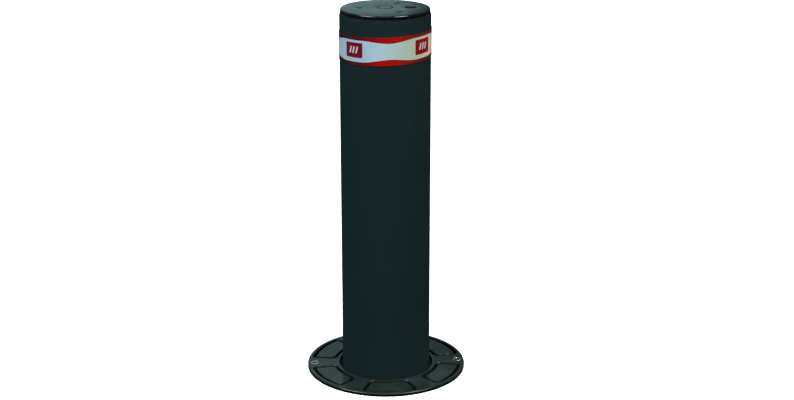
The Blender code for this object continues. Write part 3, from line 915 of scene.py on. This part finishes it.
def make_band():
    start, end = SEAM + SEAM_GAP, SEAM + 360 - SEAM_GAP
    azimuths = [SEAM + SEAM_GAP / 2] + [a for a in band_azimuths() if start < a < end]
    azimuths.append(SEAM + 360 - SEAM_GAP / 2)
    points = [point for azimuth in azimuths for point in band_column(azimuth)]
    ring = len(points) // len(azimuths)
    faces, finishes = [], []
    for i in range(len(azimuths) - 1):
        a, b = i * ring, (i + 1) * ring
        in_patch = abs(patch_offset((azimuths[i] + azimuths[i + 1]) / 2)) < PATCH_HALF
        middle = PATCH_ZONE if in_patch else SILVER_ZONE
        finishes += [RED_ZONE, SILVER_ZONE, middle, SILVER_ZONE, RED_ZONE, RED_ZONE, SILVER_ZONE, RED_ZONE]
        for j in range(ring):
            k = (j + 1) % ring
            faces.append((a + j, b + j, b + k, a + k))
    last = (len(azimuths) - 1) * ring
    faces += [tuple(range(ring)), tuple(range(last + ring - 1, last - 1, -1))]
    finishes += [SILVER_ZONE, SILVER_ZONE]
    band = shade(from_faces("band_film", points, faces), 40)
    piece(band, "post", "reflective_film", [FILM_SILVER, FILM_RED, PATCH_RED], "reflective_band")
    for face, finish in zip(band.data.polygons, finishes):
        face.material_index = finish


def bar_points(patch, middle):
    """A slanting bar of a mark, curved round the band: four points for each of its slices."""
    ink = (BAND_R + 0.005 * MM, BAND_R + 0.03 * MM)
    width, lean, half, rise = 2.6, 2.4, 4.2, 1.3  # millimetres
    points = []
    for i in range(BAR_SLICES + 1):
        across = middle - width / 2 + width * i / BAR_SLICES
        for radius in ink:
            for row, shift in ((-half, -lean / 2), (half, lean / 2)):
                azimuth = patch + (across + shift) * MM / BAND_R / radians(1)
                z = band_middle(azimuth) + (rise + row) * MM
                points.append((radius * cos(radians(azimuth)), radius * sin(radians(azimuth)), z))
    return points


def make_marks():
    """A plain mark in each patch: three slanting bars, in place of any lettering."""
    step = 5.0  # millimetres
    points, faces = [], []
    for patch in range(PATCHES):
        for middle in (-step, 0, step):
            start = len(points)
            points += bar_points(FIRST_PATCH + REPEAT * patch, middle)
            end = start + 4 * BAR_SLICES
            for a in range(start, end, 4):
                faces += [(a + j, a + k, a + 4 + k, a + 4 + j) for j, k in ((0, 1), (1, 3), (3, 2), (2, 0))]
            faces += [(start, start + 2, start + 3, start + 1), (end, end + 1, end + 3, end + 2)]
    marks = from_faces("band_marks", points, faces)
    piece(marks, "post", "reflective_film", PRINT_INK)


# Wiper seal round the post

def make_seal():
    """The seal: a flat skirt clamped under the flange, and a lip that leans towards the post."""
    low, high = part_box("wiper_seal")
    lip_r = FLANGE_BORE_R - 0.5 * MM
    bore_r = BAND_R + GAP
    soft = 0.3 * MM
    outline = rounded(
        [
            (lip_r - 1.6 * MM, high.z, 0.5 * MM),
            (lip_r, -0.1 * MM, soft),
            (lip_r, -GAP, 0),
            (SEAL_R, -GAP, soft),
            (SEAL_R, low.z, soft),
            (bore_r + 0.15 * MM, low.z, soft),
            (bore_r, high.z - 0.2 * MM, soft),
        ]
    )
    piece(shade(lathe("wiper_lip", outline), 50), "casing", "rubber", RUBBER, "wiper_seal")


# Pieces that keep their CAD shape, with their edges broken and their round faces smooth

FINISH_OF = {
    "galvanised": GALVANISED,
    "bright_steel": BRIGHT_STEEL,
    "cylinder_paint": CYLINDER_PAINT,
    "rubber": RUBBER,
    "nylon": NYLON,
    "pipe_plastic": PIPE_PLASTIC,
    "brass": BRASS,
}


def soften(node, body, edge=0.4 * MM):
    """A copy of a CAD node with its flat facets merged and its sharp edges bevelled."""
    source = frame["nodes"][node]
    slot = source.material_slots[0].material.name
    mesh = source.data.copy()
    made = bmesh.new()
    made.from_mesh(mesh)
    bmesh.ops.remove_doubles(made, verts=made.verts, dist=1e-6)
    bmesh.ops.dissolve_limit(
        made, angle_limit=radians(0.5), verts=made.verts, edges=made.edges, use_dissolve_boundaries=False
    )
    made.to_mesh(mesh)
    made.free()
    mesh.name = node + "_soft"
    item = new_object(node + "_soft", mesh)
    bevel = item.modifiers.new("edges", "BEVEL")
    bevel.width = edge
    bevel.segments = 2
    bevel.limit_method = "ANGLE"
    bevel.angle_limit = radians(35)
    bevel.use_clamp_overlap = True
    shade(applied(item), 35)
    piece(item, body, slot, FINISH_OF[slot], node)


make_flange()
for screw_node in FLANGE_SCREWS:
    make_screw(screw_node, "casing", "zinc", ZINC)
for screw_node in CAP_SCREWS:
    make_screw(screw_node, "post", "black_enamel", CAP_ENAMEL)
make_lock()
make_cap()
make_post()
make_band()
make_marks()
make_seal()
for body_name, members in frame["record"]["behaviour"]["bodies"].items():
    for member in members:
        if not frame["nodes"][member].hide_render:
            soften(member, body_name)


# Studio

def emission(name, color, strength):
    made = bpy.data.materials.new(name)
    made.use_nodes = True
    tree = made.node_tree
    tree.nodes.clear()
    light = tree.nodes.new("ShaderNodeEmission")
    light.inputs["Color"].default_value = (*color, 1)
    light.inputs["Strength"].default_value = strength
    output = tree.nodes.new("ShaderNodeOutputMaterial")
    tree.links.new(light.outputs[0], output.inputs[0])
    return made


def make_floor():
    """A pale floor with a hole for the casing, under the flange's edge."""
    hole_r, floor_r, under = FLANGE_R - 2.5 * MM, 14, -5 * MM
    outline = [(hole_r, 0), (floor_r, 0), (floor_r, under), (hole_r, under)]
    floor = lathe("studio_floor", outline)
    paint = bpy.data.materials.new("studio_floor")
    paint.use_nodes = True
    shader = paint.node_tree.nodes["Principled BSDF"]
    shader.inputs["Base Color"].default_value = (0.8, 0.8, 0.8, 1)
    shader.inputs["Roughness"].default_value = 0.9
    shader.inputs["Specular IOR Level"].default_value = 0.0
    shader.inputs["Emission Color"].default_value = (1, 1, 1, 1)
    shader.inputs["Emission Strength"].default_value = 0.85
    floor.data.materials.append(paint)
    floor.visible_glossy = False
    floor.visible_diffuse = False


# The room's light by direction: its tint, and levels along Z, X and Y, which are multiplied
ROOM_TINT = (0.62, 0.97, 1.0)
RISES = (
    (-1.0, 0.02),
    (-0.02, 0.03),
    (0.06, 0.50),
    (0.24, 0.52),
    (0.38, 0.35),
    (0.50, 0.32),
    (0.72, 0.08),
    (1.0, 0.05),
)
SIDES = (
    (-1.0, 0.45),
    (-0.32, 0.45),
    (-0.18, 1.0),
    (0.045, 0.95),
    (0.11, 0.12),
    (0.34, 0.2),
    (1.0, 0.5),
)
DEPTHS = ((-1.0, 0.25), (-0.3, 0.35), (0.3, 1.0))


def level_ramp(tree, direction, stops, tint):
    """The room's light along one axis, from its (direction, level) stops."""
    shift = tree.nodes.new("ShaderNodeMath")
    shift.operation = "MULTIPLY_ADD"
    shift.inputs[1].default_value = 0.5
    shift.inputs[2].default_value = 0.5
    tree.links.new(direction, shift.inputs[0])
    ramp = tree.nodes.new("ShaderNodeValToRGB")
    ramp.color_ramp.interpolation = "EASE"
    set_stops(ramp, [((place + 1) / 2, [level * part for part in tint]) for place, level in stops])
    tree.links.new(shift.outputs[0], ramp.inputs[0])
    return ramp.outputs["Color"]


def multiplied(tree, one, other):
    times = tree.nodes.new("ShaderNodeMix")
    times.data_type = "RGBA"
    times.blend_type = "MULTIPLY"
    times.inputs[0].default_value = 1.0
    tree.links.new(one, times.inputs[6])
    tree.links.new(other, times.inputs[7])
    return times.outputs[2]


def make_world():
    """A dim room with walls from the horizon up: a bright panel on the far one, a dark front."""
    world = bpy.data.worlds.new("studio")
    bpy.context.scene.world = world
    world.use_nodes = True
    tree = world.node_tree
    background = tree.nodes["Background"]
    split = tree.nodes.new("ShaderNodeSeparateXYZ")
    tree.links.new(tree.nodes.new("ShaderNodeTexCoord").outputs["Generated"], split.inputs[0])
    light = level_ramp(tree, split.outputs["Z"], RISES, ROOM_TINT)
    light = multiplied(tree, light, level_ramp(tree, split.outputs["X"], SIDES, (1, 1, 1)))
    light = multiplied(tree, light, level_ramp(tree, split.outputs["Y"], DEPTHS, (1, 1, 1)))
    tree.links.new(light, background.inputs["Color"])


def make_backdrop():
    """A white dome that only the camera sees."""
    outline = [(0, 13), (7, 11.3), (11.3, 7), (13, 0), (12.9, 0), (11.2, 6.9), (6.9, 11.2), (0, 12.9)]
    dome = lathe("studio_dome", outline, 48)
    dome.data.materials.append(emission("studio_white", (1, 1, 1), 1.0))
    dome.visible_glossy = False
    dome.visible_diffuse = False
    dome.visible_shadow = False
    dome.visible_transmission = False


SET_TURN = 3.3  # degrees that +X is turned away from the camera


def key_light(name, azimuth, elevation, width, strength, color):
    """A far, broad and soft light. Its azimuth is degrees to the right of the camera, its width degrees."""
    data = bpy.data.lights.new(name, "SUN")
    data.angle = radians(width)
    data.energy = strength
    data.color = color
    light = bpy.data.objects.new(name, data)
    bpy.context.scene.collection.objects.link(light)
    turn = radians(azimuth - 90 - SET_TURN)
    up = radians(elevation)
    toward = Vector((cos(turn) * cos(up), sin(turn) * cos(up), sin(up)))
    light.rotation_euler = toward.to_track_quat("Z", "Y").to_euler()


def make_lights():
    key_light("key_left", -58, 46, 30, 3.0, (0.86, 0.95, 1.0))
    key_light("key_right", 51, 46, 30, 2.9, (1.0, 0.98, 0.92))
    key_light("top", 0, 84, 25, 0.4, (0.97, 0.99, 1.0))


CAMERA_AT = (9.13, -1886.95, 842.25)  # millimetres to the right, ahead and up, before the set's turn
CAMERA_DOWN, CAMERA_RIGHT = 18.02, 0.164  # degrees
CAMERA_LENS, CAMERA_SENSOR = 70.1, 36  # focal length and sensor width in millimetres


def make_camera():
    """The camera stands 1.9 m off and 0.84 m up, looks down by 18 degrees and almost straight ahead."""
    data = bpy.data.cameras.new("camera")
    data.sensor_width = CAMERA_SENSOR
    data.lens = CAMERA_LENS
    camera = bpy.data.objects.new("camera", data)
    bpy.context.scene.collection.objects.link(camera)
    turn = Matrix.Rotation(-radians(SET_TURN), 4, "Z")
    camera.location = turn @ Vector(CAMERA_AT) * MM
    camera.rotation_euler = (pi / 2 - radians(CAMERA_DOWN), 0, -radians(CAMERA_RIGHT) - radians(SET_TURN))
    bpy.context.scene.camera = camera


make_floor()
make_backdrop()
make_world()
make_lights()
make_camera()
bpy.context.scene.view_settings.view_transform = "Standard"
